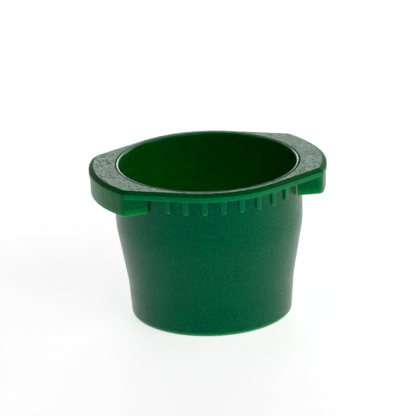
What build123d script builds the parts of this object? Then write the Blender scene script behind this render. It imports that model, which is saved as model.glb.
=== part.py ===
from build123d import *
import os
from math import acos, cos, degrees, hypot, radians, sin, tan

# The bait cup of a wasp trap: an open cup, a winged collar that drops over its
# lip, and a round lure pad on its floor. Millimetres. +X runs along the wings,
# +Z is up, and the origin is the centre of the underside of the cup's base.

# Cup, outside, from the base up
cup_height = 50.4
base_radius = 25.6
base_corner = 1.8             # rounding between base and band, outside and inside
foot_radius = 22.5            # the cup stands on a ring outside this radius
foot_recess = 0.4             # depth of the underside within the ring
gate_radius = 1.6             # low round mark of the moulding gate, in the middle
gate_height = 0.25
band_height = 11.8            # low, almost upright band above the base
band_radius = 26.5
band_blend = 40.0             # rounding between band and cone
cone_height = 31.1            # where the flaring cone meets the upright barrel
cone_blend = 30.0             # rounding between cone and barrel
barrel_radius = 29.95
barrel_draft = 0.1            # the barrel widens this much between skirt and seat

# Cup, inside and lip
wall = 1.6
floor = 1.8
lip_thickness = 1.05          # its top is a full round

# Ribs on the barrel, under the collar and between its wings
ribs_per_side = 8
rib_pitch = 11.25
rib_width = 1.9
rib_length = 5.0
rib_proud = 0.8
rib_rounding = 0.45
rib_root = 0.6                # each rib starts this deep inside the barrel wall

# Winged collar
skirt_clearance = 0.3         # between the barrel and the collar's skirts
bore_clearance = 0.15         # between the lip and the collar's bore
plate_thickness = 2.5
plate_chamfer = 1.05          # down the plate's edge
plate_slope = 1.5             # how far the chamfer reaches in over the top face
bore_chamfer = 0.1
rim_radius = 32.2             # the plate's edge between the wings
wing_radius = 38.0            # the plate's edge at the wing tips
wing_half_angle = 29.9
wing_corner = 2.6
skirt_drop = 8.4              # from the plate's top face to the skirts' lower edges
skirt_set_back = 0.3          # the skirts' curved faces are this far inside the wing tips
skirt_draft = 1.4
skirt_half_angle = 30.4       # where a skirt's side face would meet the wing tips' circle
skirt_splay = 6.5             # the skirts' side faces close towards the cup by this angle
skirt_wall = 1.4
skirt_corner = 2.4

# Lure pad
pad_radius = 22.0
pad_thickness = 4.0
pad_rounding = 0.8
pad_gap = 0.1                 # between the pad and the cup's floor

# Levels and radii that follow from those
mouth_radius = barrel_radius - wall
lip_radius = mouth_radius + lip_thickness
seat_height = cup_height - plate_thickness
skirt_bottom = cup_height - skirt_drop
bore_radius = lip_radius + bore_clearance
skirt_inner_radius = barrel_radius + barrel_draft + skirt_clearance
rib_radius = barrel_radius + rib_proud

os.makedirs("parts", exist_ok=True)


def on_circle(radius, angle):
    return (radius * cos(radians(angle)), radius * sin(radians(angle)))


def level(shapes, height):
    """The shapes of a section whose height is the one given."""
    return shapes.filter_by_position(Axis.Y, height - 0.01, height + 0.01)


# Cup: a turned body with the collar's seat below its lip, and the ribs
with BuildPart() as cup:
    with BuildSketch(Plane.XZ) as body_section:
        with BuildLine():
            Polyline(
                (0, foot_recess),
                (foot_radius - foot_recess, foot_recess),
                (foot_radius, 0),
                (base_radius, 0),
                (band_radius, band_height),
                (barrel_radius, cone_height),
                (barrel_radius, skirt_bottom),
                (barrel_radius + barrel_draft, seat_height),
                (lip_radius, seat_height),
                (lip_radius, cup_height),
                (mouth_radius, cup_height),
                (mouth_radius, cone_height),
                (band_radius - wall, band_height),
                (base_radius - wall, floor),
                (0, floor),
                close=True,
            )
        make_face()
        fillet(level(body_section.vertices(), cone_height), cone_blend)
        fillet(level(body_section.vertices(), band_height), band_blend)
        fillet(level(body_section.vertices(), cup_height), lip_thickness / 2 - 0.01)
        fillet(level(body_section.vertices(), floor).sort_by(Axis.X)[-1], base_corner)
        fillet(level(body_section.vertices(), 0).sort_by(Axis.X)[-1], base_corner)
    revolve(axis=Axis.Z)
    with BuildSketch(Plane.XY.offset(foot_recess - gate_height)):
        Circle(gate_radius)
    extrude(amount=gate_height + floor / 2)

    rib_angles = [
        side + rib_pitch * (index - (ribs_per_side - 1) / 2)
        for side in (-90, 90)
        for index in range(ribs_per_side)
    ]
    rib_planes = [
        Plane(
            origin=(*on_circle(barrel_radius - rib_root, angle), seat_height),
            x_dir=(*on_circle(1, angle + 90), 0),
            z_dir=(*on_circle(1, angle), 0),
        )
        for angle in rib_angles
    ]
    with BuildSketch(*rib_planes):
        Rectangle(rib_width, rib_length - rib_width / 2, align=(Align.CENTER, Align.MAX))
        with Locations((0, rib_width / 2 - rib_length)):
            Circle(rib_width / 2)
    extrude(amount=rib_root + rib_proud)
    rib_faces = cup.faces().filter_by(GeomType.PLANE).filter_by(
        lambda face: abs(hypot(face.center().X, face.center().Y) - rib_radius) < 0.1
    )
    fillet(
        rib_faces.edges().filter_by(lambda edge: edge.center().Z < seat_height - 0.1),
        rib_rounding,
    )

cup.part.label = "cup"
export_step(cup.part, "parts/cup.step")


def wing_plan(inset):
    """Plan of both wing skirts' outer faces moved in by the inset, filled to the middle."""
    corner_x, corner_y = on_circle(wing_radius, skirt_half_angle)
    splay = tan(radians(skirt_splay))
    middle_y = corner_y - corner_x * splay - inset
    tip_y = middle_y + wing_radius * splay
    with BuildSketch() as plan:
        with BuildLine():
            Polyline(
                (wing_radius, tip_y),
                (0, middle_y),
                (-wing_radius, tip_y),
                (-wing_radius, -tip_y),
                (0, -middle_y),
                (wing_radius, -tip_y),
                close=True,
            )
        make_face()
        Circle(wing_radius - skirt_set_back - inset, mode=Mode.INTERSECT)
    return plan.sketch


# Winged collar: a flat plate drawn out into two wings. A hollow skirt, open
# below and towards the cup, hangs from each wing.
with BuildPart() as winged_collar:
    tangent_angle = wing_half_angle + degrees(acos(rim_radius / wing_radius))
    with BuildSketch(Plane.XY.offset(seat_height)) as plate_plan:
        with BuildLine():
            tip = CenterArc((0, 0), wing_radius, 0, wing_half_angle)
            rim = CenterArc((0, 0), rim_radius, tangent_angle, 90 - tangent_angle)
            Line(tip @ 1, rim @ 0)
            mirror(about=Plane.YZ)
            mirror(about=Plane.XZ)
        make_face()
        wing_corners = plate_plan.vertices().filter_by(
            lambda corner: hypot(corner.X, corner.Y) > wing_radius - 0.01 and abs(corner.Y) > 1
        )
        fillet(wing_corners, wing_corner)
    extrude(amount=plate_thickness)
    plate_top = winged_collar.faces().sort_by(Axis.Z)[-1]
    chamfer(plate_top.outer_wire().edges(), plate_slope, plate_chamfer, reference=plate_top)

    with BuildSketch(Plane.XY.offset(seat_height)) as skirt_plan:
        add(wing_plan(0))
        fillet(skirt_plan.vertices().filter_by(lambda corner: abs(corner.X) > 1), skirt_corner)
        Circle(skirt_inner_radius, mode=Mode.SUBTRACT)
    extrude(amount=-(seat_height - skirt_bottom), taper=skirt_draft)
    with BuildSketch(Plane.XY.offset(skirt_bottom)):
        add(wing_plan(skirt_wall))
    extrude(amount=seat_height - skirt_bottom, mode=Mode.SUBTRACT)

    with Locations((0, 0, cup_height)):
        Hole(bore_radius)
    chamfer(winged_collar.faces().sort_by(Axis.Z)[-1].inner_wires().edges(), bore_chamfer)

winged_collar.part.label = "winged_collar"
export_step(winged_collar.part, "parts/winged_collar.step")

# Lure pad: an absorbent disc that lies on the cup's floor
with BuildPart() as lure_pad:
    with BuildSketch(Plane.XY.offset(floor + pad_gap)):
        Circle(pad_radius)
    extrude(amount=pad_thickness)
    fillet(lure_pad.edges(), pad_rounding)

lure_pad.part.label = "lure_pad"
export_step(lure_pad.part, "parts/lure_pad.step")
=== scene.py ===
import math

import bmesh
import bpy
from mathutils import Matrix, Vector, noise


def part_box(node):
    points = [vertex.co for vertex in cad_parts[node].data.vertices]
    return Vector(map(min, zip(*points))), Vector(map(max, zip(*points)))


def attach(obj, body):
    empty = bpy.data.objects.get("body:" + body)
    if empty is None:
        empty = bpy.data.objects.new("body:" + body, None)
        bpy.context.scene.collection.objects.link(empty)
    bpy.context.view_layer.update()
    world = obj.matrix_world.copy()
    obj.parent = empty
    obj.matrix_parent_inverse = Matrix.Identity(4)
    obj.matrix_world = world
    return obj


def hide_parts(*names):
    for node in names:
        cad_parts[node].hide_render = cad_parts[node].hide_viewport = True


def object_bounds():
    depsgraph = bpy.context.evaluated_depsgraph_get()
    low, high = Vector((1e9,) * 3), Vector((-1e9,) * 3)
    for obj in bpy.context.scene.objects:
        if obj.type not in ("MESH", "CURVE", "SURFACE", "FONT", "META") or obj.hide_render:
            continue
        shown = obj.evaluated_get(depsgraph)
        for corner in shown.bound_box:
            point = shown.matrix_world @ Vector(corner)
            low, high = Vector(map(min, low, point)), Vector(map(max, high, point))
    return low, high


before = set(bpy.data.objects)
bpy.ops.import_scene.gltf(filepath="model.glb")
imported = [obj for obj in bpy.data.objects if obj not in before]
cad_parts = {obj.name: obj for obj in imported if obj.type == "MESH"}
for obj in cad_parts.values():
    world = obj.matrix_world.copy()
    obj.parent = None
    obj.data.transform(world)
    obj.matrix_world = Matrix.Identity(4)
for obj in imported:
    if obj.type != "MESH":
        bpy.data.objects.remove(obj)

# The bait cup of a wasp trap, in metres, in the CAD model's own frame: +X along the
# wings, +Z up. Angles are in degrees. Azimuth 0 is the side of the object at -Y, and
# 90 the side at +X.
MM = 0.001
CAD_LOW, CAD_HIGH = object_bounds()
CAD_MIDDLE = (CAD_LOW + CAD_HIGH) / 2

# Camera: a long lens a metre and a half away, a little to the left of the front
CAMERA_AZIMUTH = -14.3
CAMERA_ELEVATION = 19.65
CAMERA_ROLL = 1.83
CAMERA_DISTANCE = 1500 * MM
CAMERA_SENSOR = 36            # sensor width and focal length, in the camera's millimetres
CAMERA_LENS = 404.8
CAMERA_RISE = 8.87 * MM       # how far the view's middle lies above the object's
CAMERA_LEFT = 0.61 * MM       # and to its left


def direction(azimuth, elevation):
    """Unit vector towards the object from that azimuth and elevation."""
    a, e = math.radians(azimuth), math.radians(elevation)
    return Vector((-math.sin(a) * math.cos(e), math.cos(a) * math.cos(e), -math.sin(e)))


def make_camera():
    data = bpy.data.cameras.new("camera")
    data.sensor_width = CAMERA_SENSOR
    data.lens = CAMERA_LENS
    data.clip_start, data.clip_end = 0.05, 20
    camera = bpy.data.objects.new("camera", data)
    bpy.context.scene.collection.objects.link(camera)
    forward = direction(CAMERA_AZIMUTH, CAMERA_ELEVATION)
    azimuth = math.radians(CAMERA_AZIMUTH)
    level = Vector((math.cos(azimuth), math.sin(azimuth), 0))
    upright = level.cross(forward)
    roll = math.radians(CAMERA_ROLL)
    right = math.cos(roll) * level - math.sin(roll) * upright
    up = math.sin(roll) * level + math.cos(roll) * upright
    target = CAD_MIDDLE + CAMERA_RISE * up - CAMERA_LEFT * right
    place = target - CAMERA_DISTANCE * forward
    turn = Matrix((right, up, -forward)).transposed().to_4x4()
    camera.matrix_world = Matrix.Translation(place) @ turn
    bpy.context.scene.camera = camera


# ---------------------------------------------------------------- node helpers


def new_material(name):
    material = bpy.data.materials.new(name)
    material.use_nodes = True
    tree = material.node_tree
    return material, tree, tree.nodes["Principled BSDF"]


def node(tree, kind, inputs=None, **settings):
    """A new node with its settings, and its inputs either linked or set to a value."""
    made = tree.nodes.new(kind)
    for name, value in settings.items():
        setattr(made, name, value)
    for name, value in (inputs or {}).items():
        if isinstance(value, bpy.types.NodeSocket):
            tree.links.new(value, made.inputs[name])
        else:
            made.inputs[name].default_value = value
    return made


def object_place(tree):
    return node(tree, "ShaderNodeTexCoord").outputs["Object"]


def axis_part(tree, vector, axis):
    return node(tree, "ShaderNodeSeparateXYZ", {"Vector": vector}).outputs[axis]


def maths(tree, operation, first, second=0.0):
    return node(tree, "ShaderNodeMath", {0: first, 1: second}, operation=operation).outputs[0]


def vector_maths(tree, operation, first, second=(0, 0, 0)):
    made = node(tree, "ShaderNodeVectorMath", {0: first, 1: second}, operation=operation)
    return made.outputs["Value" if operation in ("LENGTH", "DOT_PRODUCT") else "Vector"]


def surface_normal(tree):
    """The way the surface faces, before any bump."""
    return node(tree, "ShaderNodeNewGeometry").outputs["True Normal"]


def facing(tree, axis):
    """How far the surface faces along an axis, from -1 to 1."""
    return axis_part(tree, surface_normal(tree), axis)


def level_part(tree, place):
    """The level offset of a place from the upright line through the cup's middle."""
    return vector_maths(tree, "MULTIPLY", place, (1, 1, 0))


def facing_out(tree, place):
    """How far the surface faces away from the cup's middle, from -1 to 1."""
    outward = vector_maths(tree, "NORMALIZE", level_part(tree, place))
    return vector_maths(tree, "DOT_PRODUCT", outward, surface_normal(tree))


def from_middle(tree, place):
    """Distance from the upright line through the cup's middle."""
    return vector_maths(tree, "LENGTH", level_part(tree, place))


def grain(tree, place, per_metre, detail=2.0, roughness=0.5):
    """Even mould grain: a noise value around 0.5 with so many grains to the metre."""
    made = node(
        tree, "ShaderNodeTexNoise",
        {"Vector": place, "Scale": per_metre, "Detail": detail, "Roughness": roughness},
    )
    return made.outputs["Fac"]


def spread(tree, value, low, high, to_low=0.0, to_high=1.0):
    """The value with low to high mapped onto another range, and held at its ends beyond."""
    made = node(
        tree, "ShaderNodeMapRange",
        {"Value": value, "From Min": low, "From Max": high, "To Min": to_low, "To Max": to_high},
    )
    return made.outputs["Result"]


def blend_colour(tree, factor, first, second):
    made = node(tree, "ShaderNodeMix", data_type="RGBA")
    for index, value in ((0, factor), (6, first), (7, second)):
        if isinstance(value, bpy.types.NodeSocket):
            tree.links.new(value, made.inputs[index])
        else:
            made.inputs[index].default_value = value
    return made.outputs[2]


def blend_value(tree, factor, first, second):
    made = node(tree, "ShaderNodeMix", {0: factor, 2: first, 3: second}, data_type="FLOAT")
    return made.outputs[0]


def bump(tree, height, strength, distance):
    inputs = {"Height": height, "Strength": strength, "Distance": distance}
    return node(tree, "ShaderNodeBump", inputs).outputs["Normal"]


# ---------------------------------------------------------------- materials

INNER_GREEN = (0.0, 0.095, 0.0, 1)
PAINTED_INNER_LIGHT_GREEN = (0.0, 0.18, 0.0, 1)     # painted light: paler lower down inside, standing in for light that comes through the wall
GREEN = (0.0, 0.066, 0.003, 1)
GREEN_GRAIN_AND_PAINTED_LIGHT = (0.0, 0.165, 0.035, 1)   # paler specks of the grain, and painted light where the plastic is thin or light leaves it edgeways
PAINTED_GLOW_GREEN = (0.0, 0.3, 0.03, 1)     # painted glow from light below along the foot and the skirts' lower edges, and painted highlights on the ribs' ends
FROSTED_GRAIN_AND_SHEEN = (0.12, 0.19, 0.075, 1)     # raised grains on the collar's top face, paler partly from their own tone and partly as painted reflection of the bright back
CUP_HAZE = (0.0, 0.95, 0.85, 1)      # tint of what the plastic reflects face on
COLLAR_HAZE = (0.0, 0.95, 0.5, 1)
FELT_STAINED = (0.52, 0.42, 0.26, 1)
FELT_CLEAN = (0.66, 0.58, 0.42, 1)
FELT_FIBRE = (0.3, 0.22, 0.12, 1)

# Grains to the metre
FINE_GRAIN = 1900             # on the cup and the collar's sides
COARSE_GRAIN = 1400           # on the collar's top face
DRAG_GRAIN = 1300             # round the wing tips, drawn out downwards
DRAG_STRETCH = (1, 1, 0.06)
FELT_GRAIN = 2600
STAIN_GRAIN = 70

# Depth of the relief that each grain gives
CUP_RELIEF = 0.05 * MM
COLLAR_RELIEF = 0.22 * MM
FELT_RELIEF = 0.4 * MM

SCATTER_REACH = 2.3 * MM      # how far light travels sideways in the plastic
PLATE_THICKNESS = 2.5 * MM    # of the collar
LIP_DEPTH = 0.8 * MM          # how far down from the top the lip is polished
LIP_ROUGHNESS = 0.14
EDGE_FADE = 2.2 * MM          # painted light on the lower edges fades out at this height above them
# Painted light inside the cup, lighter lower down:
LIT_FROM_TOP = 3 * MM         # inside, the colour starts to lighten at this depth
LIT_IN_FULL = 16 * MM         # and is at its lightest from here down


def green_plastic(name, haze):
    """Frosted translucent green polypropylene."""
    material, tree, shader = new_material(name)
    shader.inputs["Subsurface Weight"].default_value = 1.0
    shader.inputs["Subsurface Radius"].default_value = (0.15, 1.0, 0.45)
    shader.inputs["Subsurface Scale"].default_value = SCATTER_REACH
    shader.inputs["IOR"].default_value = 1.49
    shader.inputs["Specular Tint"].default_value = haze
    return material, tree, shader


def cup_material(low, high):
    """An even fine grain outside and a smooth glossy lip, with painted light: paler ribs with
    highlighted ends, a glowing foot, and an inside lighter lower down.
    """
    material, tree, shader = green_plastic("cup_plastic", CUP_HAZE)
    place = object_place(tree)
    height = axis_part(tree, place, "Z")
    barrel_radius = high.x        # there are no ribs along X
    lip = spread(tree, height, high.z - 1.2 * LIP_DEPTH, high.z - 0.8 * LIP_DEPTH)
    # Painted light: the ribs and a band along the foot are painted paler, and the ribs' lower ends
    # and the foot's lower edge are painted glowing, as if lit from below.
    rib = spread(tree, from_middle(tree, place), barrel_radius + 0.15 * MM, barrel_radius + 0.5 * MM)
    rib_end_highlight = maths(tree, "MULTIPLY", rib, spread(tree, facing(tree, "Z"), -0.15, -0.5))
    foot = spread(tree, height, low.z + EDGE_FADE, low.z + 0.4 * MM)
    foot_glow = spread(tree, height, low.z + 1.8 * MM, low.z + 0.3 * MM, 0.0, 0.9)
    lit = maths(tree, "MULTIPLY", maths(tree, "MAXIMUM", rib, foot), 0.5)
    glow = maths(tree, "MAXIMUM", rib_end_highlight, foot_glow)
    outside = spread(tree, facing_out(tree, place), 0.0, 0.2)
    # Painted light inside: the colour lightens lower down, standing in for light that comes through
    # the wall.
    depth = spread(tree, height, high.z - LIT_FROM_TOP, high.z - LIT_IN_FULL)
    fine = grain(tree, place, FINE_GRAIN, detail=1.5)

    colour = blend_colour(tree, spread(tree, fine, 0.47, 0.68, 0.0, 0.5), GREEN, GREEN_GRAIN_AND_PAINTED_LIGHT)
    colour = blend_colour(tree, lit, colour, GREEN_GRAIN_AND_PAINTED_LIGHT)
    colour = blend_colour(tree, glow, colour, PAINTED_GLOW_GREEN)
    inner_colour = blend_colour(tree, depth, INNER_GREEN, PAINTED_INNER_LIGHT_GREEN)
    colour = blend_colour(tree, outside, inner_colour, colour)
    tree.links.new(colour, shader.inputs["Base Color"])

    frosted = spread(tree, fine, 0.25, 0.75, 0.22, 0.34)
    tree.links.new(blend_value(tree, lip, frosted, LIP_ROUGHNESS), shader.inputs["Roughness"])
    relief = blend_value(tree, lip, fine, 0.5)
    tree.links.new(bump(tree, relief, 0.35, CUP_RELIEF), shader.inputs["Normal"])
    return material


def collar_material(low, high):
    """A coarse frosted grain on the top face, its pale specks partly painted reflection, drag marks
    round the wing tips, and painted light on the edges.
    """
    material, tree, shader = green_plastic("collar_plastic", COLLAR_HAZE)
    place = object_place(tree)
    height = axis_part(tree, place, "Z")
    steepness = maths(tree, "ABSOLUTE", facing(tree, "Z"))
    plate_bottom = high.z - PLATE_THICKNESS
    top = spread(tree, facing(tree, "Z"), 0.9, 0.97)
    upright = spread(tree, steepness, 0.3, 0.1)
    flank = spread(tree, maths(tree, "ABSOLUTE", facing(tree, "Y")), 0.75, 0.95)
    on_plate = spread(tree, height, plate_bottom - 0.1 * MM, plate_bottom + 0.1 * MM)
    # Painted light: the plate's upright front and back edges are painted paler, standing in for
    # light leaving the plate edgeways.
    plate_edge = maths(tree, "MULTIPLY", maths(tree, "MULTIPLY", upright, on_plate), flank)
    # Painted glow along the skirts' lower edges, stronger on their flanks, standing in for light
    # from below.
    skirt_glow_edge = spread(tree, height, low.z + EDGE_FADE, low.z + 0.3 * MM)
    glow = maths(tree, "MULTIPLY", skirt_glow_edge, spread(tree, flank, 0.0, 1.0, 0.35, 0.75))
    coarse = grain(tree, place, COARSE_GRAIN, detail=3.0, roughness=0.6)
    drag_place = vector_maths(tree, "MULTIPLY", place, DRAG_STRETCH)
    drag = grain(tree, drag_place, DRAG_GRAIN, detail=1.5)
    fine = grain(tree, place, FINE_GRAIN, detail=1.5)
    side = blend_value(tree, maths(tree, "MAXIMUM", flank, 0.35), drag, fine)

    colour = blend_colour(tree, spread(tree, side, 0.42, 0.64, 0.0, 0.6), GREEN, GREEN_GRAIN_AND_PAINTED_LIGHT)
    colour = blend_colour(tree, plate_edge, colour, GREEN_GRAIN_AND_PAINTED_LIGHT)
    colour = blend_colour(tree, glow, colour, PAINTED_GLOW_GREEN)
    # The top's pale specks: the grain's own tone and painted reflection of the bright back seen at a
    # grazing angle.
    speckled = blend_colour(tree, spread(tree, coarse, 0.45, 0.63), GREEN, FROSTED_GRAIN_AND_SHEEN)
    colour = blend_colour(tree, top, colour, speckled)
    tree.links.new(colour, shader.inputs["Base Color"])

    glints = spread(tree, coarse, 0.4, 0.62, 0.55, 0.22)
    bevel = spread(tree, steepness, 0.3, 0.6, 0.34, 0.5)
    tree.links.new(blend_value(tree, top, bevel, glints), shader.inputs["Roughness"])
    relief = blend_value(tree, top, maths(tree, "MULTIPLY", side, 0.4), coarse)
    tree.links.new(bump(tree, relief, 0.9, COLLAR_RELIEF), shader.inputs["Normal"])
    return material


def felt_material():
    """Pressed wool felt, stained a little by the lure."""
    material, tree, shader = new_material("felt")
    place = object_place(tree)
    fibre = grain(tree, place, FELT_GRAIN, detail=5.0, roughness=0.7)
    clean = spread(tree, grain(tree, place, STAIN_GRAIN, detail=3.0), 0.35, 0.65)
    colour = blend_colour(tree, clean, FELT_STAINED, FELT_CLEAN)
    colour = blend_colour(tree, spread(tree, fibre, 0.3, 0.75, 0.0, 0.35), colour, FELT_FIBRE)
    tree.links.new(colour, shader.inputs["Base Color"])
    tree.links.new(bump(tree, fibre, 1.0, FELT_RELIEF), shader.inputs["Normal"])
    shader.inputs["Roughness"].default_value = 0.95
    shader.inputs["Sheen Weight"].default_value = 0.3
    return material


def grey(level):
    return (level, level, level, 1)


def floor_material():
    """Matt and nearly even, and lit from within so that shadows on it stay faint."""
    material, tree, shader = new_material("floor")
    place = object_place(tree)
    colour = blend_colour(tree, grain(tree, place, 3), grey(0.5), grey(0.53))
    tree.links.new(colour, shader.inputs["Base Color"])
    shader.inputs["Roughness"].default_value = 0.7
    shader.inputs["Emission Color"].default_value = grey(1)
    shader.inputs["Emission Strength"].default_value = 0.74
    return material


# ---------------------------------------------------------------- lure pad

FELT_RINGS = 44               # rings of vertices on each face, from the middle to the rim
FELT_AROUND = 160             # vertices round a ring
FELT_REACH = 0.985            # the rim's radius, as a share of the CAD disc's
FELT_SHAVED = 0.25 * MM       # how far each face lies inside the CAD disc's
RIM_SHARPNESS = 14            # how late and sharply the faces turn over at the rim
GROOVE_PLACE = 0.86           # ring pressed into the top: its place and width are shares
GROOVE_WIDTH = 0.03           # of the disc's radius
GROOVE_DEPTH = 0.5 * MM
FUZZ_HEIGHT = 0.09 * MM
FUZZ_GRAIN = 900              # to the metre, as is the next
WAVE_HEIGHT = 0.12 * MM
WAVE_GRAIN = 60
RIM_WAVER = 0.004             # how unevenly the rim runs, as a share of its radius


def felt_ring(share, side, middle, radius, thickness):
    """Places round a ring of the disc's top (side 1) or underside (side -1)."""
    reach = share * radius * FELT_REACH
    crown = math.sqrt(max(0.0, 1 - share ** RIM_SHARPNESS))
    groove = math.exp(-((reach / radius - GROOVE_PLACE) / GROOVE_WIDTH) ** 2) * GROOVE_DEPTH
    places = []
    for index in range(FELT_AROUND if reach > 0 else 1):
        angle = 2 * math.pi * index / FELT_AROUND
        outward = Vector((math.cos(angle), math.sin(angle), 0))
        spot = reach * outward
        lift = side * (thickness / 2 - FELT_SHAVED) * crown
        if side > 0:
            fuzz = noise.fractal(spot * FUZZ_GRAIN + Vector((0, 0, 7)), 1.0, 2.0, 3) * FUZZ_HEIGHT
            wave = noise.noise(spot * WAVE_GRAIN + Vector((5, 3, 1))) * WAVE_HEIGHT
            lift += (fuzz + wave) * crown - groove
        waver = 1 + RIM_WAVER * noise.noise(3 * outward + Vector((0, 0, 1)))
        places.append(middle + spot * waver + Vector((0, 0, lift)))
    return places


def make_pad(low, high):
    """The felt disc: rounded rim, a fibrous top, and a ring pressed in near its edge."""
    middle = (low + high) / 2
    radius, thickness = (high.x - low.x) / 2, high.z - low.z
    mesh = bmesh.new()
    rings = []
    for side, steps in ((1, range(FELT_RINGS + 1)), (-1, range(FELT_RINGS, -1, -1))):
        for step in steps:
            share = math.sin(step / FELT_RINGS * math.pi / 2)
            places = felt_ring(share, side, middle, radius, thickness)
            rings.append([mesh.verts.new(place) for place in places])
    for ring, following in zip(rings, rings[1:]):
        for index in range(FELT_AROUND):
            after = (index + 1) % FELT_AROUND
            corners = [
                ring[index % len(ring)],
                ring[after % len(ring)],
                following[after % len(following)],
                following[index % len(following)],
            ]
            face = list(dict.fromkeys(corners))
            if len(face) > 2:
                mesh.faces.new(face)
    bmesh.ops.remove_doubles(mesh, verts=mesh.verts, dist=1e-7)
    bmesh.ops.recalc_face_normals(mesh, faces=mesh.faces)
    data = bpy.data.meshes.new("felt_pad")
    mesh.to_mesh(data)
    mesh.free()
    for face in data.polygons:
        face.use_smooth = True
    pad = bpy.data.objects.new("felt_pad", data)
    bpy.context.scene.collection.objects.link(pad)
    data.materials.append(felt_material())
    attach(pad, "pad")
    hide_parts("lure_pad")


# ---------------------------------------------------------------- studio

FLOOR_REACH = 4.0             # from the middle to each side
LIGHT_DISTANCE = 0.9          # from the object's middle

# Each area light: its name, the azimuth and elevation it stands at, its width, its
# height and its power in watts
LIGHTS = (
    ("front_box", 14, 42, 0.45, 0.45, 2.0),
    ("right_box", 54, 12, 0.45, 0.45, 2.6),
    ("back_right_box", 108, 12, 0.45, 0.45, 1.6),
    ("back_box", 164, 21, 0.6, 0.3, 2.2),
    ("left_box", -80, 10, 0.45, 0.45, 0.5),
    ("top_box", -120, 72, 0.25, 0.25, 0.3),
)


def add_light(name, azimuth, elevation, width, height, power):
    data = bpy.data.lights.new(name, "AREA")
    data.shape = "RECTANGLE"
    data.size, data.size_y = width, height
    data.energy = power
    light = bpy.data.objects.new(name, data)
    bpy.context.scene.collection.objects.link(light)
    toward = direction(azimuth, elevation)
    light.location = CAD_MIDDLE - LIGHT_DISTANCE * toward
    light.rotation_mode = "QUATERNION"
    light.rotation_quaternion = toward.to_track_quat("-Z", "Y")


def make_floor():
    data = bpy.data.meshes.new("floor")
    corners = [
        (-FLOOR_REACH, -FLOOR_REACH, CAD_LOW.z),
        (FLOOR_REACH, -FLOOR_REACH, CAD_LOW.z),
        (FLOOR_REACH, FLOOR_REACH, CAD_LOW.z),
        (-FLOOR_REACH, FLOOR_REACH, CAD_LOW.z),
    ]
    data.from_pydata(corners, [], [(0, 1, 2, 3)])
    floor = bpy.data.objects.new("floor", data)
    bpy.context.scene.collection.objects.link(floor)
    data.materials.append(floor_material())


def make_sky():
    """White round the horizon, falling to nearly black higher up."""
    world = bpy.data.worlds.new("studio")
    bpy.context.scene.world = world
    world.use_nodes = True
    tree = world.node_tree
    background = tree.nodes["Background"]
    place = node(tree, "ShaderNodeTexCoord").outputs["Generated"]
    rise = spread(tree, axis_part(tree, place, "Z"), 0.02, 0.3)
    sky = blend_colour(tree, rise, grey(1), grey(0.05))
    tree.links.new(sky, background.inputs["Color"])
    background.inputs["Strength"].default_value = 0.5


make_camera()
for name, make_material in (("cup", cup_material), ("winged_collar", collar_material)):
    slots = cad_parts[name].data.materials
    slots.clear()
    slots.append(make_material(*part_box(name)))
make_pad(*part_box("lure_pad"))
make_floor()
make_sky()
for light in LIGHTS:
    add_light(*light)
bpy.context.scene.view_settings.view_transform = "Standard"
